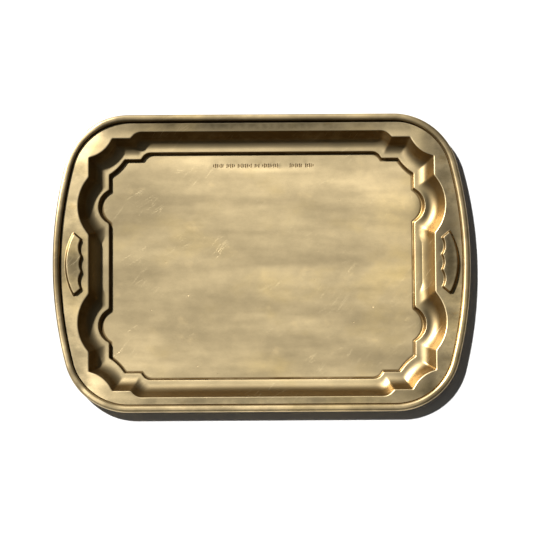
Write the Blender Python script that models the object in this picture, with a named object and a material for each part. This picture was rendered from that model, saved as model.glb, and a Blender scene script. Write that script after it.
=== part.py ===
"""Pressed brass tray: a stepped well, two raised grip pads and a curled rim on an edge wire.

The tray is one pressed sheet. Its edge rises out of a shallow groove, rolls over a closed
edge wire and tucks in underneath. Lengths below are in millimetres and each mesh is scaled
to metres as it is made. +X runs along the longer side, +Z is up, and the origin lies on the
surface that the tray stands on, under the middle of the floor.
"""

import math
from collections import namedtuple

import bmesh
import bpy
from mathutils import Vector

MM = 0.001

# Overall size, and the sheet that it is pressed from
LENGTH = 230.0
WIDTH = 165.4
SHEET = 0.8

# Outer edge: each short side bows out on a large arc and meets the long sides on a corner arc
SIDE_RADIUS = 223.0
CORNER_RADIUS = 36.0
SIDE_STEPS = 8
CORNER_STEPS = 8

# Heights of the sheet's upper face
FLOOR_Z = SHEET
LEDGE_Z = 3.0
FLANGE_Z = 10.5

# Curled rim: the edge wire, the curl's outer radius, and the groove at its inner foot
WIRE_RADIUS = 0.8
WIRE_GAP = 0.3
CURL_RADIUS = WIRE_RADIUS + WIRE_GAP + SHEET
CURL_END = math.radians(292.5)
CURL_STEPS = 13
GROOVE_WIDTH = 0.9
GROOVE_DEPTH = 0.4
GROOVE_STEPS = 4

# Wall of the well: a rounded lip, a steep straight stretch and a cove that sweeps to the ledge
LIP_RADIUS = 1.2
LIP_STEPS = 3
WALL_SLOPE = math.radians(57.0)
COVE_RADIUS = 6.5
COVE_STEPS = 5
WALL_RUN = 11.6
STEP_RUN = 1.0

# Along the middle of each short side the wall is straight instead, and meets the ledge in a crease
CREASED_SLOPE = math.radians(51.0)
CREASED_HALF = 11.5

# Grip pads: the crescent's tips, its outer bow and the scalloped inner edge
PAD_HEIGHT = 1.8
PAD_WALL = 1.3
PAD_TIP = Vector((103.7, 18.4))
PAD_HEEL = Vector((98.3, 13.8))
PAD_PEAK = Vector((98.1, 4.3))
PAD_BOW = 5.0
PAD_HOLLOW = 1.7
PAD_MIDDLE_HOLLOW = 1.4
PAD_BOW_STEPS = 8
PAD_HOLLOW_STEPS = 4

# A quarter of the well's outline. From the middle of a short side it runs straight, swells
# into a lobe, turns a hollowed corner at (corner_x, shoulder_y) and steps out to the long side.
# Each bulge is how far an arc stands out from its chord, and a negative one bows inwards.
Outline = namedtuple(
    "Outline",
    "side_x lobe_low lobe_high lobe_bulge corner_y corner_x corner_bulge "
    "shoulder_y shoulder_x step_x step_bulge top_y",
)
WELL_LIP = Outline(
    side_x=95.9, lobe_low=16.2, lobe_high=48.9, lobe_bulge=6.0,
    corner_y=60.1, corner_x=82.8, corner_bulge=-2.2,
    shoulder_y=70.8, shoulder_x=72.4, step_x=65.0, step_bulge=1.3, top_y=74.4,
)
FLOOR_EDGE = Outline(
    side_x=83.3, lobe_low=24.4, lobe_high=42.1, lobe_bulge=6.0,
    corner_y=50.4, corner_x=75.2, corner_bulge=-0.6,
    shoulder_y=58.7, shoulder_x=66.0, step_x=60.4, step_bulge=1.2, top_y=62.5,
)
LOBE_STEPS = 6
BEND_STEPS = 4

BRASS = (0.62, 0.49, 0.27, 1.0)
BRASS_ROUGHNESS = 0.3
WIRE_STEEL = (0.33, 0.31, 0.28, 1.0)
WIRE_ROUGHNESS = 0.45
SHARP_EDGE = math.radians(40.0)


def arc(start, end, bulge, steps):
    """Points from start to end, the end left out, on an arc that stands bulge off its chord.

    A positive bulge lies to the right of the way from start to end.
    """
    along = (end - start).normalized()
    right = Vector((along.y, -along.x))
    half = (end - start).length / 2
    radius = (half**2 + bulge**2) / (2 * bulge)
    centre = (start + end) / 2 - right * (radius - bulge)
    sweep = math.asin(half / abs(radius))
    points = []
    for step in range(steps):
        angle = sweep * (2 * step / steps - 1)
        points.append(centre + right * radius * math.cos(angle) + along * abs(radius) * math.sin(angle))
    return points


def full_turn(right_half):
    """Close an anticlockwise outline from its half at +X, by turning that half about the middle."""
    return right_half + [-point for point in right_half]


def well_ring(depth):
    """The well's outline at a share of the way from its lip, at 0, to the floor's edge, at 1."""
    outline = Outline(*(lip + (floor - lip) * depth for lip, floor in zip(WELL_LIP, FLOOR_EDGE)))
    lobe_start = Vector((outline.side_x, outline.lobe_low))
    lobe_end = Vector((outline.side_x, outline.lobe_high))
    corner_start = Vector((outline.side_x, outline.corner_y))
    corner_end = Vector((outline.corner_x, outline.shoulder_y))
    step_start = Vector((outline.shoulder_x, outline.shoulder_y))
    step_end = Vector((outline.step_x, outline.top_y))
    upper = arc(lobe_start, lobe_end, outline.lobe_bulge, LOBE_STEPS)
    upper.append(lobe_end)
    upper += arc(corner_start, corner_end, outline.corner_bulge, BEND_STEPS)
    upper.append(corner_end)
    upper += arc(step_start, step_end, outline.step_bulge, BEND_STEPS)
    upper.append(step_end)
    lower = [Vector((point.x, -point.y)) for point in reversed(upper)]
    middle = [Vector((outline.side_x, -CREASED_HALF)), Vector((outline.side_x, CREASED_HALF))]
    return full_turn(lower + middle + upper)


def rim_ring(inset):
    """The tray's outer edge, moved inwards by inset."""
    side_centre = Vector((LENGTH / 2 - SIDE_RADIUS, 0.0))
    corner_y = WIDTH / 2 - CORNER_RADIUS
    reach = math.sqrt((SIDE_RADIUS - CORNER_RADIUS) ** 2 - corner_y**2)
    corner_centre = side_centre + Vector((reach, corner_y))
    meeting = math.atan2(corner_y, reach)
    right_half = []
    for step in range(SIDE_STEPS):
        angle = meeting * (2 * step / SIDE_STEPS - 1)
        direction = Vector((math.cos(angle), math.sin(angle)))
        right_half.append(side_centre + direction * (SIDE_RADIUS - inset))
    corner = []
    for step in range(CORNER_STEPS + 1):
        angle = meeting + (math.pi / 2 - meeting) * step / CORNER_STEPS
        direction = Vector((math.cos(angle), math.sin(angle)))
        corner.append(corner_centre + direction * (CORNER_RADIUS - inset))
    lower_corner = [Vector((point.x, -point.y)) for point in reversed(corner[1:])]
    return full_turn(lower_corner + right_half + corner)


def mitre(before, after, distance):
    """How far the corner between two directions of travel moves when both sides move left."""
    left_before = Vector((-before.y, before.x)).normalized()
    left_after = Vector((-after.y, after.x)).normalized()
    middle = (left_before + left_after).normalized()
    return middle * (distance / middle.dot(left_after))


def pad_ring(inset):
    """The outline of the grip pad at +X, moved inwards by inset."""
    tip_low = Vector((PAD_TIP.x, -PAD_TIP.y))
    heel_low = Vector((PAD_HEEL.x, -PAD_HEEL.y))
    peak_low = Vector((PAD_PEAK.x, -PAD_PEAK.y))
    points = arc(tip_low, PAD_TIP, PAD_BOW, PAD_BOW_STEPS)
    points.append(PAD_TIP)
    points += arc(PAD_HEEL, PAD_PEAK, -PAD_HOLLOW, PAD_HOLLOW_STEPS)
    points += arc(PAD_PEAK, peak_low, -PAD_MIDDLE_HOLLOW, PAD_HOLLOW_STEPS)
    points += arc(peak_low, heel_low, -PAD_HOLLOW, PAD_HOLLOW_STEPS)
    points.append(heel_low)
    ring = []
    for index, point in enumerate(points):
        following = points[(index + 1) % len(points)]
        ring.append(point + mitre(point - points[index - 1], following - point, inset))
    return ring


def other_face(profile, before, after, distance):
    """A profile moved to the left of its travel, which comes in along before and leaves along after."""
    legs = [before] + [end - start for start, end in zip(profile, profile[1:])] + [after]
    return [
        point + mitre(leg_in, leg_out, distance)
        for point, leg_in, leg_out in zip(profile, legs, legs[1:])
    ]


def curl_profile():
    """(inset, height) from the flange, through the groove and round the wire to the free end."""
    profile = []
    curl_foot = 2 * CURL_RADIUS
    for step in range(GROOVE_STEPS):
        share = step / GROOVE_STEPS
        drop = GROOVE_DEPTH * math.sin(math.pi * share)
        profile.append(Vector((curl_foot + GROOVE_WIDTH * (1 - share), FLANGE_Z - drop)))
    for step in range(CURL_STEPS + 1):
        angle = CURL_END * step / CURL_STEPS
        inset = CURL_RADIUS * (1 + math.cos(angle))
        profile.append(Vector((inset, FLANGE_Z + CURL_RADIUS * math.sin(angle))))
    return profile


def wall_profile():
    """(run, height) from the flange over the lip, down the cove, over the ledge to the floor."""
    profile = []
    for step in range(LIP_STEPS + 1):
        angle = WALL_SLOPE * step / LIP_STEPS
        drop = LIP_RADIUS * (1 - math.cos(angle))
        profile.append(Vector((LIP_RADIUS * math.sin(angle), FLANGE_Z - drop)))
    cove_top = LEDGE_Z + COVE_RADIUS * (1 - math.cos(WALL_SLOPE))
    cove_run = profile[-1].x + (profile[-1].y - cove_top) / math.tan(WALL_SLOPE)
    foot = cove_run + COVE_RADIUS * math.sin(WALL_SLOPE)
    for step in range(COVE_STEPS + 1):
        angle = WALL_SLOPE * (1 - step / COVE_STEPS)
        height = LEDGE_Z + COVE_RADIUS * (1 - math.cos(angle))
        profile.append(Vector((foot - COVE_RADIUS * math.sin(angle), height)))
    profile.append(Vector((WALL_RUN - STEP_RUN, LEDGE_Z)))
    profile.append(Vector((WALL_RUN, FLOOR_Z)))
    return profile


def creased_profile():
    """The wall's profile where it is straight, with as many points as the one with the cove."""
    profile = []
    for step in range(LIP_STEPS + 1):
        angle = CREASED_SLOPE * step / LIP_STEPS
        drop = LIP_RADIUS * (1 - math.cos(angle))
        profile.append(Vector((LIP_RADIUS * math.sin(angle), FLANGE_Z - drop)))
    top = profile[-1]
    crease = Vector((top.x + (top.y - LEDGE_Z) / math.tan(CREASED_SLOPE), LEDGE_Z))
    for step in range(COVE_STEPS + 1):
        profile.append(top.lerp(crease, (step + 1) / (COVE_STEPS + 1)))
    profile.append(Vector((WALL_RUN - STEP_RUN, LEDGE_Z)))
    profile.append(Vector((WALL_RUN, FLOOR_Z)))
    return profile


def pad_profile():
    """(inset, height) up the wall of a grip pad."""
    return [Vector((0.0, FLANGE_Z)), Vector((PAD_WALL, FLANGE_Z + PAD_HEIGHT))]


def add_ring(mesh, points, height):
    return [mesh.verts.new((point.x * MM, point.y * MM, height * MM)) for point in points]


def add_wall_ring(mesh, on_cove, on_crease):
    """A ring of the wall, at one point of the cove's profile and the same one of the creased one."""
    ring = []
    for coved, creased in zip(well_ring(on_cove.x / WALL_RUN), well_ring(on_crease.x / WALL_RUN)):
        is_creased = abs(coved.y) < CREASED_HALF + 1.0
        point = creased if is_creased else coved
        height = on_crease.y if is_creased else on_cove.y
        ring.append(mesh.verts.new((point.x * MM, point.y * MM, height * MM)))
    return ring


def bridge(mesh, first, second):
    """Join two rings with a band of quads."""
    for index, corner in enumerate(first):
        mesh.faces.new((first[index - 1], corner, second[index], second[index - 1]))


def ring_edges(mesh, ring):
    return [mesh.edges.get((corner, ring[index - 1])) for index, corner in enumerate(ring)]


def add_bands(mesh, rings):
    """Join each ring to the next. The first and the last are given back."""
    for first, second in zip(rings, rings[1:]):
        bridge(mesh, first, second)
    return rings[0], rings[-1]


def add_face_of_sheet(mesh, wall, creased_wall, curl, pad):
    """One face of the sheet: floor, wall, flange, pads and curl. The curl's free end is given back."""
    lip, floor_edge = add_bands(mesh, [add_wall_ring(mesh, *pair) for pair in zip(wall, creased_wall)])
    mesh.faces.new(floor_edge)
    groove_edge, free_end = add_bands(mesh, [add_ring(mesh, rim_ring(row.x), row.y) for row in curl])
    flange_border = ring_edges(mesh, lip) + ring_edges(mesh, groove_edge)
    for turn in (1, -1):
        rings = [add_ring(mesh, [turn * point for point in pad_ring(row.x)], row.y) for row in pad]
        pad_foot, crown = add_bands(mesh, rings)
        mesh.faces.new(crown)
        flange_border += ring_edges(mesh, pad_foot)
    bmesh.ops.triangle_fill(mesh, edges=flange_border, use_beauty=True, normal=(0.0, 0.0, 1.0))
    return free_end


def pressed_sheet():
    """The sheet as a closed shell: its upper face, its lower face and the curl's cut edge."""
    inwards = Vector((1.0, 0.0))
    outwards = -inwards
    wall = wall_profile()
    creased_wall = creased_profile()
    curl = curl_profile()
    pad = pad_profile()
    cut_edge = curl[-1] - curl[-2]
    mesh = bmesh.new()
    upper_end = add_face_of_sheet(mesh, wall, creased_wall, curl, pad)
    lower_end = add_face_of_sheet(
        mesh,
        other_face(wall, inwards, inwards, -SHEET),
        other_face(creased_wall, inwards, inwards, -SHEET),
        other_face(curl, outwards, cut_edge, SHEET),
        other_face(pad, inwards, inwards, -SHEET),
    )
    bridge(mesh, upper_end, lower_end)
    bmesh.ops.recalc_face_normals(mesh, faces=mesh.faces)
    return mesh


def metal(name, colour, roughness):
    material = bpy.data.materials.new(name)
    material.use_nodes = True
    shader = material.node_tree.nodes["Principled BSDF"]
    shader.inputs["Base Color"].default_value = colour
    shader.inputs["Metallic"].default_value = 1.0
    shader.inputs["Roughness"].default_value = roughness
    return material


def tray_body():
    sheet = pressed_sheet()
    mesh = bpy.data.meshes.new("tray_body")
    sheet.to_mesh(mesh)
    sheet.free()
    mesh.materials.append(metal("tray_brass", BRASS, BRASS_ROUGHNESS))
    mesh.shade_smooth()
    mesh.set_sharp_from_angle(angle=SHARP_EDGE)
    body = bpy.data.objects.new("tray_body", mesh)
    bpy.context.collection.objects.link(body)
    return body


def rim_wire():
    path = bpy.data.curves.new("rim_wire", "CURVE")
    path.dimensions = "3D"
    path.bevel_depth = WIRE_RADIUS * MM
    path.bevel_resolution = 2
    spline = path.splines.new("POLY")
    points = rim_ring(CURL_RADIUS)
    spline.points.add(len(points) - 1)
    for place, point in zip(spline.points, points):
        place.co = (point.x * MM, point.y * MM, FLANGE_Z * MM, 1.0)
    spline.use_cyclic_u = True
    path.materials.append(metal("rim_wire_steel", WIRE_STEEL, WIRE_ROUGHNESS))
    wire = bpy.data.objects.new("rim_wire", path)
    bpy.context.collection.objects.link(wire)
    return wire


def main():
    for thing in list(bpy.data.objects):
        bpy.data.objects.remove(thing, do_unlink=True)
    tray_body()
    rim_wire()


main()
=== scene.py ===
"""The looks of a pressed brass tray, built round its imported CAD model.

The sheet is one fine closed shell, which takes its length, width, height and rim from the
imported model. It is gathered ring by ring: the wall of the well from its lip to the floor, the
curled rim, the grip pads, and the flat stretches between them. Lengths inside the shell are in
millimetres.
"""
import math
from collections import namedtuple

import bmesh
import bpy
import numpy as np
from mathutils import Matrix, Vector, noise
from mathutils.geometry import delaunay_2d_cdt


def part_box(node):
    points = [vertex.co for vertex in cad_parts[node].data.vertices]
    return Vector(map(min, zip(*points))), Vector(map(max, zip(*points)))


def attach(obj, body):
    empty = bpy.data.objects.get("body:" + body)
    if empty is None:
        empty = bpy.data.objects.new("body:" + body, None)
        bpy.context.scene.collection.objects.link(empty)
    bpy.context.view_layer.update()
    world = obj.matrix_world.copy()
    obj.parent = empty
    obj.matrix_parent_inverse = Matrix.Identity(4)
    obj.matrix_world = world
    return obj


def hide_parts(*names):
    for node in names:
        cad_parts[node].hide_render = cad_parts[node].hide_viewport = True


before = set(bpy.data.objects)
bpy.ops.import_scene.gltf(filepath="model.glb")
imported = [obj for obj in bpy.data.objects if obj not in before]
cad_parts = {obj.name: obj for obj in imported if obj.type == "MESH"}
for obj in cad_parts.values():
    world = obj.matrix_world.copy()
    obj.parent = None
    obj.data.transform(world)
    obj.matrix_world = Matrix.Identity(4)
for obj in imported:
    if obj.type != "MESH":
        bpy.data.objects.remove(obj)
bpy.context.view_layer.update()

MM = 0.001
SHEET_LOW, SHEET_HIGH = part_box("tray_body")
WIRE_LOW, WIRE_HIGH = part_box("rim_wire")

# Overall size, from the CAD sheet and its edge wire
LENGTH = (SHEET_HIGH.x - SHEET_LOW.x) / MM
WIDTH = (SHEET_HIGH.y - SHEET_LOW.y) / MM
SHEET = 0.8
WIRE_RADIUS = (WIRE_HIGH.z - WIRE_LOW.z) / MM / 2
CURL_RADIUS = (SHEET_HIGH.x - WIRE_HIGH.x) / MM + WIRE_RADIUS
FLANGE_Z = SHEET_HIGH.z / MM - CURL_RADIUS
LEDGE_Z = 3.0
FLOOR_Z = SHEET

# Outer edge
SIDE_RADIUS = 223.0
CORNER_RADIUS = 36.0

# Wall of the well and the step at the floor's edge. The wall is a cove, except along the middle
# of the short sides, where it meets the ledge in a crease.
LIP_RADIUS = 0.8
COVE_RADIUS = 6.5
WALL_SLOPE = math.radians(56.0)
CREASE_RADIUS = 0.35
CREASED_STEEP = math.radians(63.0)
CREASED_GENTLE = math.radians(37.0)
CREASE_END = 16.5
CREASE_FADE = 5.0
SHORT_SIDE_X = 75.0
WALL_RUN = 11.6
STEP_RADIUS = 0.35
STEP_SLOPE = math.radians(70.0)

# How much flatter the round lobes get, and over how much of the run down to the floor
LOBE_FLATTENING = 1.1
LOBE_FLATTENING_RUN = 0.8

# How far a flat stretch goes on, level, beside each rounded edge, to keep its shading flat
SUPPORT = 0.4

# The longest leg of the wall's profile, on the fine upper face and on the plain lower one
FINE_LEG = 0.4
PLAIN_LEG = 1.4

# Spacing of the grids that fill the flat stretches, and the share of it kept from their borders
UPPER_GRIDS = {"pad": 1.6, "flange": 2.4, "floor": 2.2}
LOWER_GRIDS = {"pad": 3.0, "flange": 5.0, "floor": 6.0}
GRID_CLEARANCE = 0.45

# Creases sharper than this are shaded sharp
SHARP_ANGLE = math.radians(50)

# Curled rim and the groove at its foot
CURL_SQUARENESS = 3.0
GROOVE_RADIUS = 0.24
GROOVE_DEPTH = 0.45
GROOVE_SLOPE = math.radians(60.0)
GROOVE_EDGE_RADIUS = 0.22
CURL_END = math.radians(292.5)

# Grip pads
PAD_HEIGHT = 1.8
PAD_RADIUS = 0.35
PAD_SLOPE = math.radians(60.0)
PAD_TIP = (103.7, 18.4)
PAD_HEEL = (98.3, 13.8)
PAD_PEAK = (98.1, 4.3)
PAD_BOW = 5.0
PAD_HOLLOW = 1.7
PAD_MIDDLE_HOLLOW = 1.4

# The well and the pads sit a little off the middle of the rim
INNER_SHIFT = np.array((0.2, -0.45))

# A row of plain stamped ticks in a shallow trough, just inside the floor's far edge
MARK_GROUPS = ((-27.0, 6), (-19.6, 5), (-13.4, 8), (-4.0, 3), (0.2, 9), (15.4, 7), (24.0, 5))
MARKS_Y = 56.2
MARK_PITCH = 1.02
MARK_WIDTH = 0.56
MARK_HEIGHTS = (2.3, 1.7, 2.3, 2.0, 1.3)
MARK_DEPTH = 0.28
MARK_SLANT = 0.12
MARK_WALL = 0.12
TROUGH_LEFT = -28.0
TROUGH_RIGHT = 30.0
TROUGH_DEPTH = 0.16
TROUGH_SPREAD = 1.9
TROUGH_FADE = 4.0

# The well's rounded core. Paint and slopes outside it go by the way outwards from its edge.
CORE_X = 75.5
CORE_Y = 54.0
CORE_RADIUS = 20.0
WORN_FADE = 3.0

# Slope of the flange on its way outwards, by that way in degrees from +X. It mostly droops.
FLANGE_TILTS = (
    (0, -0.03), (35, -0.025), (62, 0.01), (80, 0.05), (100, 0.05), (118, 0.0), (130, -0.075),
    (158, -0.075), (176, -0.02), (188, -0.015), (204, -0.06), (213, -0.12), (224, -0.06), (246, 0.02),
    (262, -0.02), (300, -0.03), (330, -0.015), (360, -0.03),
)

# Waves in the hand-finished sheet: (height, length along x, length along y, which noise)
WAVES = ((0.032, 85, 13, 3.7), (0.012, 24, 7, 9.1))

# Lighter and darker stretches, painted on: (x, y, half width, half depth, strength). The metal's
# colour is multiplied by e to the strength. They are painted reflections, painted highlights and
# painted shade, with some tarnish among the weak ones. The strong ones, dark or light, stand in for
# what the metal mirrors, so they suit this view and this light, and they aren't the metal's own colour.
PAINTED_LIGHT_AND_TARNISH = (
    (0, 77, 70, 4, -1.45), (0, -76.5, 75, 3.5, -0.25), (-92, 66, 15, 13, 0.40),
    (-104, 40, 7, 17, 0.35), (-92, -66, 10, 8, 0.75), (-78, -75, 9, 5, 0.50),
    (101, 46, 9, 26, -0.65), (101, -62, 12, 14, -0.35), (-104, 0, 5, 17, -0.60),
    (103, 0, 5, 18, -1.45), (115, 0, 3, 60, -0.30), (-116, 0, 4, 70, -2.30),
    (91.5, 0, 4.0, 62, -1.40), (0, -71, 85, 3.4, -1.35), (84, -62, 8, 9, -0.50),
    (95, 32, 7, 13, -0.55), (95, -32, 7, 13, -0.55), (0, 81.5, 90, 1.8, 0.30), (0, -81.5, 90, 2, 0.60),
    (-82, 0, 30, 50, -0.25), (-68, 40, 20, 14, -0.30), (-45, 58, 34, 5, 0.33),
    (0, 46, 60, 11, 0.20), (68, 44, 22, 15, 0.42), (74, 0, 18, 40, 0.22),
    (-68, -47, 18, 14, 0.36), (70, -46, 18, 16, -0.10), (0, -58, 66, 5, -0.05),
    (0, -66, 60, 3, 0.15), (50, -56, 9, 3, 0.25), (-20, -57, 10, 3, -0.15),
    (1, 53.2, 29, 0.9, 0.25), (0, -64.3, 58, 1.4, 0.30), (20, -54, 9, 4, -0.12),
)

# Yellower stretches, in the same form. They add tarnish, broken up by the mottle.
WARMTHS = (
    (74, 30, 14, 12, 0.7), (80, -5, 12, 22, 0.6), (2, -56, 14, 6, 0.6), (-93, 66, 6, 4, 0.8),
    (108, -25, 8, 30, 0.5), (-104, 0, 9, 30, 0.35), (88, 20, 4, 45, 0.5), (70, -40, 10, 10, 0.3),
)

Outline = namedtuple(
    "Outline",
    "side_x lobe_low lobe_high lobe_bulge corner_y corner_x corner_bulge "
    "shoulder_y shoulder_x step_x step_bulge top_y",
)
WELL_LIP = Outline(
    side_x=95.9, lobe_low=16.2, lobe_high=48.9, lobe_bulge=6.0,
    corner_y=60.1, corner_x=82.8, corner_bulge=-2.2,
    shoulder_y=70.8, shoulder_x=72.4, step_x=65.0, step_bulge=1.3, top_y=74.4,
)
FLOOR_EDGE = Outline(
    side_x=83.3, lobe_low=24.4, lobe_high=42.1, lobe_bulge=6.0,
    corner_y=50.4, corner_x=75.2, corner_bulge=-0.6,
    shoulder_y=58.7, shoulder_x=66.0, step_x=60.4, step_bulge=1.2, top_y=62.5,
)


# ---------------------------------------------------------------- outlines

def arc(start, end, bulge, steps):
    """Points from start to end, the end left out, on an arc that stands bulge off its chord."""
    start, end = np.array(start, float), np.array(end, float)
    chord = end - start
    half = np.hypot(*chord) / 2
    along = chord / (2 * half)
    right = np.array((along[1], -along[0]))
    radius = (half**2 + bulge**2) / (2 * bulge)
    centre = (start + end) / 2 - right * (radius - bulge)
    angle = math.asin(half / abs(radius)) * (2 * np.arange(steps) / steps - 1)
    across = right * radius * np.cos(angle)[:, None]
    return centre + across + along * abs(radius) * np.sin(angle)[:, None]


def straight(start, end, steps, crowding=0.7):
    """Points from start to end, the end left out, closer together near both ends."""
    start, end = np.array(start, float), np.array(end, float)
    share = np.arange(steps) / steps
    share = share - crowding * np.sin(2 * np.pi * share) / (2 * np.pi)
    return start + (end - start) * share[:, None]


def full_turn(right_half):
    """Close an anticlockwise outline from its half at +X, by turning that half about the middle."""
    return np.concatenate((right_half, -right_half))


def soften(ring, passes):
    """Round the corners of a closed outline a little."""
    for _ in range(passes):
        ring = ring / 2 + (np.roll(ring, 1, axis=0) + np.roll(ring, -1, axis=0)) / 4
    return ring


def well_ring(run):
    """The well's outline, a run inwards from its lip."""
    depth = run / WALL_RUN
    o = Outline(*(lip + (floor - lip) * depth for lip, floor in zip(WELL_LIP, FLOOR_EDGE)))
    near_floor = min(max(run - WALL_RUN + LOBE_FLATTENING_RUN, 0.0) / LOBE_FLATTENING_RUN, 1.0)
    o = o._replace(lobe_bulge=o.lobe_bulge - LOBE_FLATTENING * near_floor)
    corners = [
        (o.side_x, o.lobe_low), (o.side_x, o.lobe_high), (o.side_x, o.corner_y),
        (o.corner_x, o.shoulder_y), (o.shoulder_x, o.shoulder_y), (o.step_x, o.top_y),
    ]
    upper = [
        arc(corners[0], corners[1], o.lobe_bulge, 44),
        straight(corners[1], corners[2], 14),
        arc(corners[2], corners[3], o.corner_bulge, 22),
        straight(corners[3], corners[4], 14),
        arc(corners[4], corners[5], o.step_bulge, 12),
        [corners[5]],
    ]
    upper = np.concatenate(upper)
    side = straight((o.side_x, -o.lobe_low), (o.side_x, o.lobe_low), 26)[1:]
    lower = upper[::-1] * (1, -1)
    top = straight((o.step_x, o.top_y), (-o.step_x, o.top_y), 60)[1:]
    return soften(full_turn(np.concatenate((lower, side, upper, top))), 3) + INNER_SHIFT


def rim_ring(inset):
    """The tray's outer edge, moved inwards by inset."""
    corner_y = WIDTH / 2 - CORNER_RADIUS
    reach = math.sqrt((SIDE_RADIUS - CORNER_RADIUS) ** 2 - corner_y**2)
    meeting = math.atan2(corner_y, reach)
    side_centre = np.array((LENGTH / 2 - SIDE_RADIUS, 0.0))
    corner_centre = side_centre + (reach, corner_y)
    side = np.linspace(-meeting, meeting, 41)[1:-1]
    corner = np.linspace(meeting, math.pi / 2, 37)
    side = side_centre + (SIDE_RADIUS - inset) * np.stack((np.cos(side), np.sin(side)), 1)
    upper = corner_centre + (CORNER_RADIUS - inset) * np.stack((np.cos(corner), np.sin(corner)), 1)
    lower = upper[::-1] * (1, -1)
    top = straight(upper[-1], upper[-1] * (-1, 1), 44, 0.3)[1:]
    return full_turn(np.concatenate((lower, side, upper, top)))


def pad_sides():
    """The sides of the grip pad at +X, anticlockwise: (start, end, bulge, steps)."""
    tip, heel, peak = (np.array(corner) for corner in (PAD_TIP, PAD_HEEL, PAD_PEAK))
    down = np.array((1, -1))
    return [
        (tip * down, tip, PAD_BOW, 60),
        (tip, heel, -0.01, 14),
        (heel, peak, -PAD_HOLLOW, 22),
        (peak, peak * down, -PAD_MIDDLE_HOLLOW, 20),
        (peak * down, heel * down, -PAD_HOLLOW, 22),
        (heel * down, tip * down, -0.01, 14),
    ]


def pad_ring(inset):
    """The outline of the grip pad at +X, moved inwards by inset."""
    curves = [np.concatenate((arc(*side), [side[1]])) for side in pad_sides()]
    leaving = np.array([curve[1] - curve[0] for curve in curves])
    coming = np.array([curve[-1] - curve[-2] for curve in curves])
    starts = np.array([curve[0] for curve in curves]) + mitre(np.roll(coming, 1, axis=0), leaving, inset)
    ring = []
    for index, (start, end, bulge, steps) in enumerate(pad_sides()):
        new_start, new_end = starts[index], starts[(index + 1) % len(starts)]
        along = (end - start) / np.linalg.norm(end - start)
        right = np.array((along[1], -along[0]))
        top = (start + end) / 2 + right * (bulge - inset)
        new_bulge = (top - (new_start + new_end) / 2) @ right
        ring.append(arc(new_start, new_end, new_bulge, steps))
    return soften(np.concatenate(ring), 3)


def mitre(before, after, distance):
    """How far corners between two directions of travel move when both sides move left."""
    before, after = (leg / np.linalg.norm(leg, axis=-1, keepdims=True) for leg in (before, after))
    left_before = np.stack((-before[:, 1], before[:, 0]), 1)
    left_after = np.stack((-after[:, 1], after[:, 0]), 1)
    middle = left_before + left_after
    middle /= np.linalg.norm(middle, axis=-1, keepdims=True)
    return middle * distance / np.sum(middle * left_after, 1)[:, None]


def other_face(profile, before, after, distance):
    """A profile moved to the left of its travel, which comes in along before and leaves along after."""
    legs = np.concatenate(([before], np.diff(profile, axis=0), [after]))
    return profile + mitre(legs[:-1], legs[1:], distance)


# ---------------------------------------------------------------- profiles
# Each row of a profile is (way inwards, height, how much dirt and painted shade, how exposed an edge).

def fall(drop, top_radius, foot_radius, slope, top_steps, foot_steps):
    """(run, drop, dirt and painted shade, edge) down a wall: over a round edge, straight, and out over a
    round foot. The painted shade is deepest where the wall is steepest.
    """
    rows = []
    for angle in np.linspace(0, slope, top_steps + 1):
        share = angle / slope
        rows.append((top_radius * math.sin(angle), top_radius * (1 - math.cos(angle)),
                     share**2, math.sin(math.pi * min(share * 1.3, 1))))
    length = (drop - (top_radius + foot_radius) * (1 - math.cos(slope))) / math.sin(slope)
    foot = (top_radius + foot_radius) * math.sin(slope) + length * math.cos(slope)
    for angle in np.linspace(slope, 0, foot_steps + 1):
        share = angle / slope
        rows.append((foot - foot_radius * math.sin(angle), drop - foot_radius * (1 - math.cos(angle)),
                     share, 0.0))
    return np.array(rows)


def creased_share(outline):
    """1 along the middle of the short sides, where the wall is straight, and 0 where it is a cove."""
    x, y = np.abs(outline).T
    share = np.clip((CREASE_END - y) / CREASE_FADE, 0, 1) * (x > SHORT_SIDE_X)
    return share * share * (3 - 2 * share)


def refine(rows, longest):
    """Splits the long legs of a profile."""
    result = [rows[0]]
    for before, after in zip(rows, rows[1:]):
        parts = max(1, math.ceil(math.hypot(*(after - before)[:2]) / longest))
        result += [before + (after - before) * (k + 1) / parts for k in range(parts)]
    return np.array(result)


def creased_fall(drop, lip_steps, steps):
    """(run, drop, dirt and painted shade, edge) down a wall that grows gentler and meets the ledge in a
    crease. The painted shade is deepest at its steep top.
    """
    lip = [(LIP_RADIUS * math.sin(angle), LIP_RADIUS * (1 - math.cos(angle)),
            angle / CREASED_STEEP, math.sin(math.pi * min(angle / CREASED_STEEP * 1.3, 1)))
           for angle in np.linspace(0, CREASED_STEEP, lip_steps + 1)]
    height = drop - lip[-1][1] - CREASE_RADIUS * (1 - math.cos(CREASED_GENTLE))
    radius = height / (math.cos(CREASED_GENTLE) - math.cos(CREASED_STEEP))
    run, fallen = lip[-1][:2]
    rows = list(lip)
    for angle in np.linspace(CREASED_STEEP, CREASED_GENTLE, steps + 1)[1:]:
        rows.append((run + radius * (math.sin(CREASED_STEEP) - math.sin(angle)),
                     fallen + radius * (math.cos(angle) - math.cos(CREASED_STEEP)),
                     (angle / CREASED_STEEP) ** 3, 0.0))
    run, fallen = rows[-1][:2]
    for angle in np.linspace(CREASED_GENTLE, 0, 3)[1:]:
        rows.append((run + CREASE_RADIUS * (math.sin(CREASED_GENTLE) - math.sin(angle)),
                     fallen + CREASE_RADIUS * (math.cos(angle) - math.cos(CREASED_GENTLE)), 0.0, 0.1))
    return np.array(rows)


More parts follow.
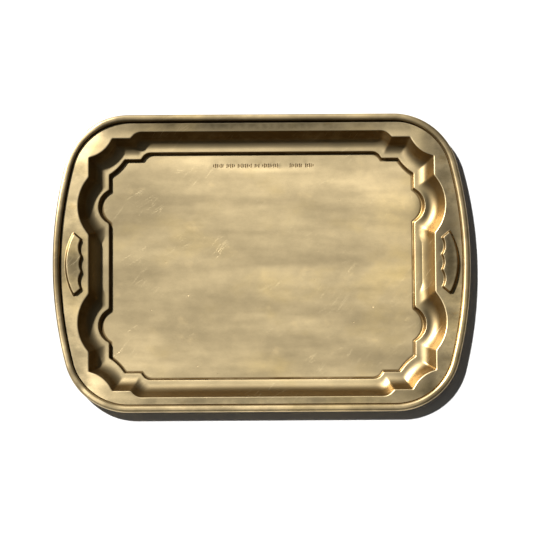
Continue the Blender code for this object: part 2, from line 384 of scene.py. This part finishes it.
def wall_profile(fineness, creased=False):
    """From the flange over the lip, down the wall, over the ledge and down the step to the floor.

    The wall ends in a cove. A creased one has as many rows.
    """
    drop = FLANGE_Z - LEDGE_Z
    wall = fall(drop, LIP_RADIUS, COVE_RADIUS, WALL_SLOPE, 3 * fineness, 6 * fineness)
    wall = refine(wall, FINE_LEG if fineness > 1 else PLAIN_LEG)
    if creased:
        wall = creased_fall(drop, 3 * fineness, len(wall) - 3 * fineness - 3)
    step = fall(LEDGE_Z - FLOOR_Z, STEP_RADIUS, STEP_RADIUS, STEP_SLOPE, 2 * fineness, 2 * fineness)
    # Dirt and painted shade, full along the step's foot and nearly full on the floor just beside it
    step[2 * fineness + 1:, 2] = 1.0
    wall[:, 1] = FLANGE_Z - wall[:, 1]
    step[:, 1] = LEDGE_Z - step[:, 1]
    step[:, 0] += WALL_RUN - step[-1, 0]
    return np.concatenate((
        [(-SUPPORT, FLANGE_Z, 0, 0.1)], wall,
        [(wall[-1, 0] + SUPPORT, LEDGE_Z, 0, 0)],
        [(step[0, 0] - SUPPORT, LEDGE_Z, 0, 0.1)], step,
        [(WALL_RUN + SUPPORT, FLOOR_Z, 0.9, 0)],
        [(WALL_RUN + 2 * SUPPORT, FLOOR_Z, 0.0, 0)],
    ))


def curl_profile(groove_steps, curl_steps):
    """From the flange, through the groove and round the edge wire to the free end.

    Dirt and painted shade lie in the groove, at the curl's inner foot and under its free end, and a little
    painted shade lies all round the curl.
    """
    groove_x = 2 * CURL_RADIUS + GROOVE_RADIUS
    groove_z = FLANGE_Z - GROOVE_DEPTH + GROOVE_RADIUS
    foot = (groove_x + GROOVE_RADIUS * math.sin(GROOVE_SLOPE),
            groove_z - GROOVE_RADIUS * math.cos(GROOVE_SLOPE))
    climb = FLANGE_Z - foot[1] - GROOVE_EDGE_RADIUS * (1 - math.cos(GROOVE_SLOPE))
    edge_x = foot[0] + climb / math.tan(GROOVE_SLOPE) + GROOVE_EDGE_RADIUS * math.sin(GROOVE_SLOPE)
    rows = [(edge_x + SUPPORT, FLANGE_Z, 0, 0.1)]
    for angle in np.linspace(0, GROOVE_SLOPE, groove_steps + 1):
        share = angle / GROOVE_SLOPE
        rows.append((edge_x - GROOVE_EDGE_RADIUS * math.sin(angle),
                     FLANGE_Z - GROOVE_EDGE_RADIUS * (1 - math.cos(angle)),
                     share, 0.5 * (1 - share)))
    for angle in np.linspace(GROOVE_SLOPE - math.pi / 2, -math.pi, 2 * groove_steps + 1):
        rows.append((groove_x + GROOVE_RADIUS * math.cos(angle),
                     groove_z + GROOVE_RADIUS * math.sin(angle), 1, 0))
    power = CURL_SQUARENESS
    for angle in np.linspace(0, CURL_END, curl_steps + 1):
        across, up = math.cos(angle), math.sin(angle)
        reach = CURL_RADIUS / (abs(across) ** power + abs(up) ** power) ** (1 / power)
        # Painted shade of 0.3 all round the curl, with more dirt and painted shade at its inner foot and
        # under its free end
        shade = 0.3 + max(0.0, 0.7 - angle / math.radians(60)) + max(0.0, angle / math.pi - 1.15)
        rows.append((CURL_RADIUS + reach * across, FLANGE_Z + reach * up,
                     min(shade, 1), max(0.0, up) * 0.2))
    return np.array(rows)


def pad_profile(steps):
    """From the flange up the wall of a grip pad to its crown."""
    wall = fall(PAD_HEIGHT, PAD_RADIUS, PAD_RADIUS, PAD_SLOPE, steps, steps)[::-1]
    wall[:, 0] = wall[0, 0] - wall[:, 0]
    wall[:, 1] = FLANGE_Z + PAD_HEIGHT - wall[:, 1]
    # Dirt and painted shade on the pad's wall, a tenth less than the fall gives
    wall[:, 2] *= 0.9
    return np.concatenate((
        [(-SUPPORT, FLANGE_Z, 0, 0)], wall,
        [(wall[-1, 0] + SUPPORT, FLANGE_Z + PAD_HEIGHT, 0, 0.2)],
    ))


# ---------------------------------------------------------------- the shell

class Shell:
    """The corners, faces and paint of one mesh, gathered ring by ring."""

    def __init__(self):
        self.corners = []
        self.paint = []
        self.faces = []

    def ring(self, outline, height, dirt_and_shade=0.0, edge=0.0, under=0.0):
        """Adds an outline at a height and gives back its corners' numbers."""
        first = len(self.corners)
        columns = np.broadcast_arrays(*np.transpose(outline), height, dirt_and_shade, edge, under)
        rows = np.stack(columns, 1).tolist()
        self.corners += [row[:3] for row in rows]
        self.paint += [row[3:] for row in rows]
        return np.arange(first, len(self.corners))

    def bands(self, outline_at, profile, under=0.0):
        """Sweeps a profile round a family of outlines. Its first and last rings are given back."""
        return self.join_all([self.ring(outline_at(row[0]), *row[1:], under) for row in profile])

    def wall(self, coved, creased, under=0.0):
        """Sweeps the wall round the well: coved, but creased along the middle of the short sides."""
        rings = []
        for on_cove, on_crease in zip(coved, creased):
            outline = well_ring(on_cove[0])
            share = creased_share(outline)[:, None]
            outline = outline + (well_ring(on_crease[0]) - outline) * share
            rows = on_cove + (on_crease - on_cove) * share
            rings.append(self.ring(outline, *rows.T[1:], under))
        return self.join_all(rings)

    def join_all(self, rings):
        """Joins each ring to the next, and gives back the first and the last."""
        for first, second in zip(rings, rings[1:]):
            self.join(first, second)
        return rings[0], rings[-1]

    def join(self, first, second):
        """Adds a band of four-sided faces between two rings."""
        around = np.stack((first, np.roll(first, -1), np.roll(second, -1), second), 1)
        self.faces += around.tolist()

    def fill(self, loops, spacing, under=0.0):
        """Triangles between closed loops of corners, with a grid of further corners among them.

        The first loop is the outer border and the others are holes.
        """
        border = np.concatenate(loops)
        outlines = [np.array([self.corners[i][:2] for i in loop]) for loop in loops]
        flat = np.concatenate(outlines)
        links = []
        offset = 0
        for loop in loops:
            count = len(loop)
            links += [(offset + i, offset + (i + 1) % count) for i in range(count)]
            offset += count
        height = self.corners[loops[0][0]][2]
        low, high = flat.min(0), flat.max(0)
        columns = np.arange(low[0] + spacing / 2, high[0], spacing)
        lines = np.arange(low[1] + spacing / 2, high[1], spacing)
        grid = np.array([(x + (i % 2) * spacing / 2, y) for i, y in enumerate(lines) for x in columns])
        grid = grid[inside(grid, outlines)]
        grid = grid[clearance(grid, flat) > spacing * GRID_CLEARANCE]
        numbers = np.concatenate((border, self.ring(grid, height, under=under)))
        points = [Vector(self.corners[i][:2]) for i in numbers]
        _, _, faces, origins, _, _ = delaunay_2d_cdt(points, links, [], 1, 1e-7)
        faces = numbers[np.array(origins)[np.array(faces), 0]]
        middles = np.array(self.corners)[faces, :2].mean(1)
        self.faces += faces[inside(middles, outlines)].tolist()

    def sunk_mark(self, outline, bottom_outline):
        """Adds a mark in the floor, and gives back its border."""
        # Dirt and painted shade: a little on the mark's border, full on its bottom
        border = self.ring(outline, FLOOR_Z, dirt_and_shade=0.2, edge=0.6)
        bottom = self.ring(bottom_outline, FLOOR_Z - MARK_DEPTH, dirt_and_shade=1.0)
        self.join(border, bottom)
        self.faces.append(bottom.tolist())
        return border


def inside(points, loops):
    """Which points lie inside the first loop and outside the others, by counting crossings."""
    crossings = np.zeros(len(points), int)
    for loop in loops:
        start, end = loop, np.roll(loop, -1, axis=0)
        for (x0, y0), (x1, y1) in zip(start, end):
            if y0 == y1:
                continue
            spans = (points[:, 1] >= min(y0, y1)) & (points[:, 1] < max(y0, y1))
            reach = x0 + (points[:, 1] - y0) * (x1 - x0) / (y1 - y0)
            crossings += spans & (points[:, 0] < reach)
    return crossings % 2 == 1


def clearance(points, corners):
    """How far each point is from the nearest of the corners."""
    nearest = np.full(len(points), 1e9)
    for start in range(0, len(points), 500):
        part = points[start:start + 500]
        gaps = np.linalg.norm(part[:, None] - corners[None], axis=2)
        nearest[start:start + 500] = gaps.min(1)
    return nearest


def marks():
    """The border and the bottom of each stamped tick, in groups of short and long slanting bars."""
    square = np.array(((-1, -1), (1, -1), (1, 1), (-1, 1)))
    lean = np.array(((0, 0), (0, 0), (MARK_SLANT, 0), (MARK_SLANT, 0)))
    for left, count in MARK_GROUPS:
        for index in range(count):
            half = np.array((MARK_WIDTH, MARK_HEIGHTS[(index + count) % len(MARK_HEIGHTS)])) / 2
            middle = np.array((left + MARK_PITCH * (index + 0.5), MARKS_Y)) + INNER_SHIFT
            yield middle + square * half + lean, middle + square * (half - MARK_WALL) + lean


def placed_pad(turn):
    """The family of outlines of one grip pad: turn is 1 for the pad at +X and -1 for the other."""
    return lambda inset: turn * pad_ring(inset) + INNER_SHIFT


def upper_face(shell):
    """Everything that shows from above. The ring at the curl's free end is given back."""
    lip, floor_edge = shell.wall(wall_profile(fineness=3), wall_profile(fineness=3, creased=True))
    groove, free_end = shell.bands(rim_ring, curl_profile(groove_steps=4, curl_steps=30))
    pad_feet = []
    for turn in (1, -1):
        foot, crown = shell.bands(placed_pad(turn), pad_profile(steps=4))
        shell.fill([crown], UPPER_GRIDS["pad"])
        pad_feet.append(foot)
    shell.fill([groove, lip] + pad_feet, UPPER_GRIDS["flange"])
    borders = [shell.sunk_mark(outline, bottom_outline) for outline, bottom_outline in marks()]
    shell.fill([floor_edge] + borders, UPPER_GRIDS["floor"])
    return free_end


def lower_face(shell):
    """The sheet's other face. The ring at the curl's free end is given back."""
    inwards, outwards = (1.0, 0.0), (-1.0, 0.0)
    wall = wall_profile(fineness=1)
    creased = wall_profile(fineness=1, creased=True)
    curl = curl_profile(groove_steps=2, curl_steps=14)
    pad = pad_profile(steps=1)
    cut = curl[-1, :2] - curl[-2, :2]
    wall[:, :2] = other_face(wall[:, :2], inwards, inwards, -SHEET)
    creased[:, :2] = other_face(creased[:, :2], inwards, inwards, -SHEET)
    curl[:, :2] = other_face(curl[:, :2], outwards, cut, SHEET)
    pad[:, :2] = other_face(pad[:, :2], inwards, inwards, -SHEET)
    lip, floor_edge = shell.wall(wall, creased, under=1.0)
    groove, free_end = shell.bands(rim_ring, curl, under=1.0)
    pad_feet = []
    for turn in (1, -1):
        foot, crown = shell.bands(placed_pad(turn), pad, under=1.0)
        shell.fill([crown], LOWER_GRIDS["pad"], under=1.0)
        pad_feet.append(foot)
    shell.fill([groove, lip] + pad_feet, LOWER_GRIDS["flange"], under=1.0)
    shell.fill([floor_edge], LOWER_GRIDS["floor"], under=1.0)
    return free_end


def outside_core(x, y):
    """How far places lie outside the well's rounded core, and which way, in degrees from +X."""
    dx, dy = x - np.clip(x, -CORE_X, CORE_X), y - np.clip(y, -CORE_Y, CORE_Y)
    return np.maximum(np.hypot(dx, dy) - CORE_RADIUS, 0.0), np.degrees(np.arctan2(dy, dx)) % 360


def warp(points):
    """How far the hand-finished sheet lies off its true shape, in millimetres."""
    x, y = points[:, 0], points[:, 1]
    lift = np.array([
        sum(height * noise.noise(Vector((px / wide, py / deep, which)))
            for height, wide, deep, which in WAVES)
        for px, py in points[:, :2]
    ])
    beyond, way = outside_core(x, y)
    lift += beyond * np.interp(way, *np.transpose(FLANGE_TILTS))
    span = (np.clip((x - TROUGH_LEFT) / TROUGH_FADE, 0, 1)
            * np.clip((TROUGH_RIGHT - x) / TROUGH_FADE, 0, 1))
    lift -= TROUGH_DEPTH * span * np.exp(-((y - MARKS_Y - INNER_SHIFT[1]) / TROUGH_SPREAD) ** 2)
    return lift


def patches(points, table):
    """The sum of a table of soft oval patches: (x, y, half width, half depth, strength)."""
    total = np.zeros(len(points))
    for x, y, wide, deep, strength in table:
        total += strength * np.exp(-((points[:, 0] - x) / wide) ** 2 - ((points[:, 1] - y) / deep) ** 2)
    return total


def tray_sheet(material):
    """The brass sheet. Dirt, wear, tarnish and painted shade, highlights and reflections lie on it."""
    shell = Shell()
    shell.join(upper_face(shell), lower_face(shell))
    points = np.array(shell.corners)
    points[:, 2] += warp(points)
    beyond = outside_core(points[:, 0], points[:, 1])[0]
    mesh = bpy.data.meshes.new("tray_sheet")
    mesh.from_pydata((points * MM).tolist(), [], shell.faces)
    paint = np.array(shell.paint)
    layers = {
        "dirt_and_shade": paint[:, 0],
        "edge": paint[:, 1],
        "under": paint[:, 2],
        "painted_light_and_tarnish": np.exp(patches(points, PAINTED_LIGHT_AND_TARNISH)),
        "warmth": patches(points, WARMTHS),
        "worn": np.clip(beyond / WORN_FADE, 0, 1),
    }
    for name, values in layers.items():
        layer = mesh.attributes.new(name, "FLOAT", "POINT")
        layer.data.foreach_set("value", values.astype(np.float32))
    mesh.validate()
    solid = bmesh.new()
    solid.from_mesh(mesh)
    loose = [corner for corner in solid.verts if not corner.link_faces]
    bmesh.ops.delete(solid, geom=loose, context="VERTS")
    bmesh.ops.recalc_face_normals(solid, faces=solid.faces)
    solid.to_mesh(mesh)
    solid.free()
    mesh.shade_smooth()
    mesh.set_sharp_from_angle(angle=SHARP_ANGLE)
    mesh.materials.append(material)
    piece = bpy.data.objects.new("tray_sheet", mesh)
    bpy.context.collection.objects.link(piece)
    return piece


def edge_wire(material):
    """The round wire inside the curl."""
    path = bpy.data.curves.new("edge_wire", "CURVE")
    path.dimensions = "3D"
    path.bevel_depth = WIRE_RADIUS * MM
    path.bevel_resolution = 4
    spline = path.splines.new("POLY")
    ring = rim_ring(CURL_RADIUS)
    spline.points.add(len(ring) - 1)
    heights = FLANGE_Z + warp(ring)
    for place, (x, y), z in zip(spline.points, ring, heights):
        place.co = (x * MM, y * MM, z * MM, 1.0)
    spline.use_cyclic_u = True
    path.materials.append(material)
    wire = bpy.data.objects.new("edge_wire", path)
    bpy.context.collection.objects.link(wire)
    return wire


# ---------------------------------------------------------------- materials

class Nodes:
    """Short names for building a material's node tree. Any input may be a number or a socket."""

    def __init__(self, name):
        self.material = bpy.data.materials.new(name)
        self.material.use_nodes = True
        self.tree = self.material.node_tree
        self.shader = self.tree.nodes["Principled BSDF"]

    def node(self, kind, inputs=(), output=0, **settings):
        made = self.tree.nodes.new("ShaderNode" + kind)
        for key, value in settings.items():
            setattr(made, key, value)
        for key, value in dict(inputs).items():
            self.feed(made.inputs[key], value)
        return made.outputs[output]

    def feed(self, socket, value):
        if isinstance(value, bpy.types.NodeSocket):
            self.tree.links.new(value, socket)
        else:
            socket.default_value = value

    def math(self, operation, a, b, c=0.0, clamp=False):
        return self.node("Math", {0: a, 1: b, 2: c}, operation=operation, use_clamp=clamp)

    def noise(self, place, scale, detail, roughness=0.5):
        return self.node("TexNoise", {"Vector": place, "Scale": scale, "Detail": detail,
                                      "Roughness": roughness})

    def remap(self, value, low, high, to_low=0.0, to_high=1.0):
        return self.node("MapRange", {0: value, 1: low, 2: high, 3: to_low, 4: to_high},
                         interpolation_type="SMOOTHSTEP")

    def mix(self, share, a, b, blend="MIX"):
        made = self.tree.nodes.new("ShaderNodeMix")
        made.data_type = "RGBA"
        made.blend_type = blend
        self.feed(made.inputs[0], share)
        self.feed(made.inputs[6], a)
        self.feed(made.inputs[7], b)
        return made.outputs[2]

    def stretched(self, place, scale):
        """A place with each of its coordinates scaled."""
        return self.node("Mapping", {"Vector": place, "Scale": scale})

    def turned(self, place, degrees, scale):
        """A place turned about +Z first and scaled afterwards, for streaks that run aslant."""
        turned = self.node("Mapping", {"Vector": place, "Rotation": (0, 0, math.radians(degrees))})
        return self.stretched(turned, scale)

    def attribute(self, name):
        return self.node("Attribute", output=2, attribute_name=name)


def colour(red, green, blue):
    return (red, green, blue, 1.0)


DULL_BRASS = colour(0.515, 0.402, 0.222)
BRIGHT_BRASS = colour(0.575, 0.452, 0.250)
YELLOW_TARNISH = colour(0.56, 0.415, 0.170)
BROWN_STAIN = colour(0.33, 0.225, 0.09)
# Dirt and painted shade, in grooves, marks, steep walls, the step's foot and the curl
DIRT_AND_SHADE = colour(0.135, 0.083, 0.030)
WORN_EDGE = colour(0.74, 0.60, 0.37)
UNDERSIDE = colour(0.28, 0.20, 0.10)
FRESH_SCUFF = colour(0.80, 0.67, 0.44)
PIT = colour(0.16, 0.10, 0.05)


def brass():
    """Satin brass with cloudy bands, tarnish, scuffs and pits. Dirt and painted shade lie in its grooves and
    on its walls, and painted reflections, highlights and shade lie across it.
    """
    n = Nodes("satin_brass")
    place = n.stretched(n.node("TexCoord", output=3), (1 / MM, 1 / MM, 1 / MM))
    dirt_and_shade, edge, under, painted_light_and_tarnish, warmth, worn = (
        n.attribute(name) for name in ("dirt_and_shade", "edge", "under", "painted_light_and_tarnish", "warmth", "worn")
    )

    bands = n.noise(n.stretched(place, (0.011, 0.060, 0.04)), 1.0, 3.0, 0.55)
    mottle = n.noise(n.stretched(place, (0.09, 0.12, 0.12)), 1.0, 5.0, 0.6)
    grain = n.noise(n.stretched(place, (0.5, 5.0, 5.0)), 1.0, 3.0, 0.7)
    speckle = n.noise(n.stretched(place, (2.6, 2.6, 2.6)), 1.0, 2.0, 0.6)
    tarnish = n.remap(n.noise(n.stretched(place, (0.022, 0.034, 0.03)), 1.0, 4.0, 0.6), 0.50, 0.70)
    stain = n.remap(n.noise(n.stretched(place, (0.06, 0.08, 0.08)), 1.0, 6.0, 0.65), 0.58, 0.74)

    metal = n.mix(n.remap(bands, 0.30, 0.70), DULL_BRASS, BRIGHT_BRASS)
    tarnish = n.math("ADD", n.math("MULTIPLY", tarnish, 0.35), n.math("MULTIPLY", warmth, mottle))
    metal = n.mix(n.math("MULTIPLY", tarnish, 1.0, clamp=True), metal, YELLOW_TARNISH)
    stained = n.math("MULTIPLY", stain, n.math("MULTIPLY_ADD", worn, 0.5, 0.22))
    metal = n.mix(stained, metal, BROWN_STAIN)

    shade = n.remap(n.math("ADD", n.math("MULTIPLY", mottle, 0.6), n.math("MULTIPLY", speckle, 0.4)),
                    0.35, 0.65, 0.89, 1.08)
    clouds = n.noise(n.stretched(place, (0.045, 0.06, 0.06)), 1.0, 5.0, 0.65)
    clouds = n.remap(clouds, 0.35, 0.65, -0.30, 0.16)
    shade = n.math("MULTIPLY", shade, n.math("MULTIPLY_ADD", worn, clouds, 1.0))
    # Painted reflections, highlights and shade, with some tarnish, from the patches painted on the sheet
    shade = n.math("MULTIPLY", shade, painted_light_and_tarnish)
    metal = n.mix(1.0, metal, n.node("CombineXYZ", {0: shade, 1: shade, 2: shade}), "MULTIPLY")
    # Dirt and painted shade, broken up a little by the mottle
    dirt_and_shade_share = n.math("MULTIPLY", dirt_and_shade, n.remap(mottle, 0.25, 0.6, 0.75, 1.0))
    metal = n.mix(dirt_and_shade_share, metal, DIRT_AND_SHADE)
    metal = n.mix(n.math("MULTIPLY", edge, 0.25), metal, WORN_EDGE)
    metal = n.mix(n.math("MULTIPLY", under, 0.40), metal, UNDERSIDE)

    scuffs = n.noise(n.turned(place, -52.0, (0.055, 3.2, 0.1)), 1.0, 1.0)
    strokes = n.noise(n.turned(place, -33.0, (0.045, 3.6, 0.1)), 1.0, 1.0)
    scuffed = n.remap(n.noise(n.stretched(place, (0.035, 0.05, 0.05)), 1.0, 1.0), 0.5, 0.62)
    scuffs = n.math("ADD", n.remap(scuffs, 0.69, 0.75), n.remap(strokes, 0.70, 0.76))
    scuffs = n.math("MULTIPLY", scuffs, scuffed)
    metal = n.mix(n.math("MULTIPLY", scuffs, 0.30, clamp=True), metal, FRESH_SCUFF)

    pits = n.node("TexVoronoi", {"Vector": place, "Scale": 0.11, "Randomness": 1.0}, feature="F1")
    pit = n.remap(pits, 0.035, 0.015)
    metal = n.mix(n.math("MULTIPLY", pit, 0.7), metal, PIT)
    n.feed(n.shader.inputs["Base Color"], metal)
    n.shader.inputs["Metallic"].default_value = 1.0

    roughness = n.remap(n.math("ADD", bands, n.math("MULTIPLY", grain, 0.4)), 0.4, 1.0, 0.40, 0.47)
    roughness = n.math("ADD", roughness, n.math("MULTIPLY", stain, 0.06))
    roughness = n.math("ADD", roughness, n.math("MULTIPLY", under, 0.08))
    roughness = n.math("ADD", roughness, n.math("MULTIPLY", edge, 0.06), clamp=True)
    n.feed(n.shader.inputs["Roughness"], roughness)

    relief = n.math("ADD", n.math("MULTIPLY", grain, 0.014), n.math("MULTIPLY", speckle, 0.009))
    relief = n.math("SUBTRACT", relief, n.math("MULTIPLY", pit, 0.05))
    relief = n.math("ADD", relief, n.math("MULTIPLY", scuffs, 0.01))
    bump = n.node("Bump", {"Height": relief, "Distance": MM, "Strength": 1.0})
    n.feed(n.shader.inputs["Normal"], bump)
    return n.material


WIRE_METAL = colour(0.33, 0.31, 0.28)
WIRE_RUST = colour(0.22, 0.12, 0.07)


def wire_steel():
    """Drawn iron wire, dull and a little rusty."""
    n = Nodes("edge_wire_steel")
    place = n.node("TexCoord", output=3)
    rust = n.remap(n.noise(place, 300.0, 4.0, 0.6), 0.45, 0.7)
    n.feed(n.shader.inputs["Base Color"], n.mix(rust, WIRE_METAL, WIRE_RUST))
    n.feed(n.shader.inputs["Roughness"], n.math("MULTIPLY_ADD", rust, 0.3, 0.4))
    n.shader.inputs["Metallic"].default_value = 0.9
    n.feed(n.shader.inputs["Normal"],
           n.node("Bump", {"Height": n.noise(place, 2500.0, 3.0), "Distance": 0.02 * MM}))
    return n.material


# ---------------------------------------------------------------- studio

# The key light comes from one side but at two heights: lower for the tray, higher for the floor
KEY_FROM = Vector((-0.623, 0.499, 0.602))
KEY_ENERGY = 13.2
FLOOR_KEY_FROM = Vector((-0.366, 0.293, 0.883))
FLOOR_KEY_ENERGY = 4.8
LAMP_ANGLE = math.radians(2.5)

PALE_FLOOR = colour(0.86, 0.86, 0.85)
FLOOR_REACH = 3.0
FLOOR_GAP = 0.0002

# Soft glows in the sky: (direction, cosine where it starts, cosine where it is full, strength)
GLOWS = (
    ((0, 0, 1), 0.62, 0.97, 0.03),
    ((-0.95, 0.1, 0.35), 0.35, 1.0, 0.09),
    ((0.1, 0.9, 0.4), 0.4, 1.0, 0.02),
    ((0.0, -0.8, 0.6), 0.3, 1.0, 0.02),
)
SKY_STRENGTH = 0.026
SEEN_SKY_STRENGTH = 0.9


def lamp(name, coming_from, energy, lit):
    """A distant lamp that lights only some objects, and is shaded by all."""
    light = bpy.data.lights.new(name, "SUN")
    light.energy = energy
    light.angle = LAMP_ANGLE
    made = bpy.data.objects.new(name, light)
    made.rotation_euler = coming_from.to_track_quat("Z", "Y").to_euler()
    bpy.context.collection.objects.link(made)
    made.light_linking.receiver_collection = bpy.data.collections.new(name + "_lit")
    for piece in lit:
        made.light_linking.receiver_collection.objects.link(piece)


def studio(pieces):
    """A pale floor, a dim sky and a key light from the far left, placed higher for the floor."""
    floor_mesh = bpy.data.meshes.new("studio_floor")
    corners = [(x * FLOOR_REACH, y * FLOOR_REACH, 0) for x, y in ((-1, -1), (1, -1), (1, 1), (-1, 1))]
    floor_mesh.from_pydata(corners, [], [(0, 1, 2, 3)])
    n = Nodes("pale_floor")
    n.shader.inputs["Base Color"].default_value = PALE_FLOOR
    n.shader.inputs["Roughness"].default_value = 0.9
    n.shader.inputs["Specular IOR Level"].default_value = 0.1
    floor_mesh.materials.append(n.material)
    floor = bpy.data.objects.new("studio_floor", floor_mesh)
    bpy.context.collection.objects.link(floor)
    floor.location.z = SHEET_LOW.z - FLOOR_GAP

    lamp("key", KEY_FROM, KEY_ENERGY, pieces)
    lamp("floor_key", FLOOR_KEY_FROM, FLOOR_KEY_ENERGY, [floor])

    world = bpy.data.worlds.new("studio_sky")
    world.use_nodes = True
    bpy.context.scene.world = world
    sky(world.node_tree)


def sky(tree):
    """A dim sky, with a soft glow at the left and weaker ones overhead, at the far side and in front.

    The camera sees it pale instead.
    """
    nodes, links = tree.nodes, tree.links
    background = nodes["Background"]
    way = nodes.new("ShaderNodeTexCoord").outputs["Generated"]

    def glow(direction, start, end, strength):
        dot = nodes.new("ShaderNodeVectorMath")
        dot.operation = "DOT_PRODUCT"
        links.new(way, dot.inputs[0])
        dot.inputs[1].default_value = Vector(direction).normalized()
        ramp = nodes.new("ShaderNodeMapRange")
        ramp.interpolation_type = "SMOOTHSTEP"
        links.new(dot.outputs["Value"], ramp.inputs[0])
        ramp.inputs[1].default_value = start
        ramp.inputs[2].default_value = end
        ramp.inputs[3].default_value = 0.0
        ramp.inputs[4].default_value = strength
        return ramp.outputs[0]

    total = None
    for part in [glow(*row) for row in GLOWS]:
        if total is None:
            total = part
            continue
        plus = nodes.new("ShaderNodeMath")
        links.new(total, plus.inputs[0])
        links.new(part, plus.inputs[1])
        total = plus.outputs[0]
    base = nodes.new("ShaderNodeMath")
    links.new(total, base.inputs[0])
    base.inputs[1].default_value = SKY_STRENGTH
    seen = nodes.new("ShaderNodeMix")
    seen.data_type = "FLOAT"
    links.new(nodes.new("ShaderNodeLightPath").outputs["Is Camera Ray"], seen.inputs[0])
    links.new(base.outputs[0], seen.inputs[2])
    seen.inputs[3].default_value = SEEN_SKY_STRENGTH
    links.new(seen.outputs[0], background.inputs["Strength"])
    background.inputs["Color"].default_value = colour(1.0, 1.0, 1.0)


# ---------------------------------------------------------------- camera

CAMERA_TILT = math.radians(81.5)
CAMERA_DISTANCE = 2.2
CAMERA_SPAN = 0.2932
SENSOR_WIDTH = 36.0
CAMERA_ROLL = math.radians(0.35)
CAMERA_AIM = Vector((0.0027, -0.0023, 0.0105))


def camera():
    """Looks almost straight down at the tray, from a little towards the near side."""
    data = bpy.data.cameras.new("camera")
    data.sensor_width = SENSOR_WIDTH
    data.lens = SENSOR_WIDTH * CAMERA_DISTANCE / CAMERA_SPAN
    back = Vector((0.0, -math.cos(CAMERA_TILT), math.sin(CAMERA_TILT)))
    turn = (-back).to_track_quat("-Z", "Y").to_matrix().to_4x4()
    made = bpy.data.objects.new("camera", data)
    made.matrix_world = (
        Matrix.Translation(CAMERA_AIM + back * CAMERA_DISTANCE) @ turn @ Matrix.Rotation(-CAMERA_ROLL, 4, "Z")
    )
    bpy.context.collection.objects.link(made)
    bpy.context.scene.camera = made


camera()
bpy.context.scene.view_settings.view_transform = "Standard"

sheet = tray_sheet(brass())
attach(sheet, "root")
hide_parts("tray_body")

wire = edge_wire(wire_steel())
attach(wire, "root")
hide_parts("rim_wire")

studio([sheet, wire])
